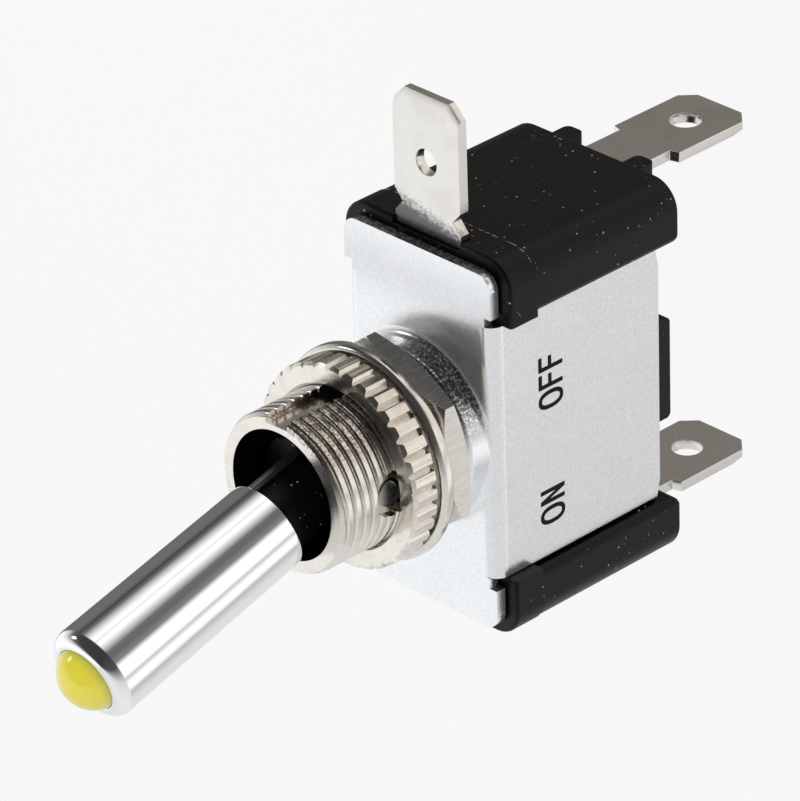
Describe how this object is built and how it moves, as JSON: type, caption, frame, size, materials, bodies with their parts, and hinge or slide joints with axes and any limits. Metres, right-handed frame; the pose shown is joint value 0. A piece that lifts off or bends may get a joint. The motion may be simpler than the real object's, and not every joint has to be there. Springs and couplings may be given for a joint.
{
  "type": "panel toggle switch",
  "caption": "Panel-mounted toggle switch with a threaded bushing, a chrome lever with a lamp in its end and push-on blade terminals.",
  "frame": {"origin": "on the bushing's axis, at the face of the hex nut where the panel's back sits", "axes": "+Z out of the panel along the bushing, X along the lever's hinge line, the lever leans towards -Y when on and the ground blade points to +Y"},
  "size_m": [0.0162, 0.0396, 0.0637],
  "materials": {
    "zinc_plate": "bright zinc plate, satin",
    "black_moulding": "semi-gloss moulded thermoset",
    "fibre_card": "brown pressed fibre",
    "nickel_plate": "nickel-plated brass, bright turned",
    "steel_pin": "plain bright steel",
    "tinned_blade": "tinned brass, fine rolling grain",
    "silver_contact": "silver-faced contact",
    "chrome_sleeve": "mirror chrome",
    "black_core": "smooth moulded plastic",
    "lamp_lens": "yellow diffused lens",
    "bare_wire": "tinned wire",
    "spring_steel": "bright spring wire",
    "bare_copper": "bright copper alloy"
  },
  "bodies": {
    "body": {"bracket": "zinc_plate", "housing": "black_moulding", "insulator_card": "fibre_card", "bushing": "nickel_plate", "pivot_pin": "steel_pin", "hex_nut": "nickel_plate", "face_ring": "nickel_plate", "knurled_nut": "nickel_plate", "terminal_load": "tinned_blade", "terminal_supply": "tinned_blade", "terminal_ground": "tinned_blade", "fixed_contact": "silver_contact"},
    "lever": {"lever_sleeve": "chrome_sleeve", "lever_core": "black_core", "led_lamp": "lamp_lens", "ground_wire": "bare_wire", "lead_supply": "bare_wire", "lead_ground": "bare_wire", "plunger": "bare_copper", "plunger_spring": "spring_steel"},
    "rocker_arm": {"rocker": "bare_copper", "moving_contact": "silver_contact"}
  },
  "joints": [
    {"name": "lever_tilt", "type": "hinge", "parent": "body", "child": "lever", "pos_m": [0, 0, 0.00384], "axis": [1, 0, 0], "range_deg": [-30.6, 0]},
    {"name": "rocker_tilt", "type": "hinge", "parent": "body", "child": "rocker_arm", "pos_m": [0, 0, -0.0139], "axis": [1, 0, 0], "range_deg": [-0.7, 16.7]}
  ],
  "couplings": [
    {"joint": "rocker_tilt", "follows": "lever_tilt", "ratio": -0.5228}
  ]
}
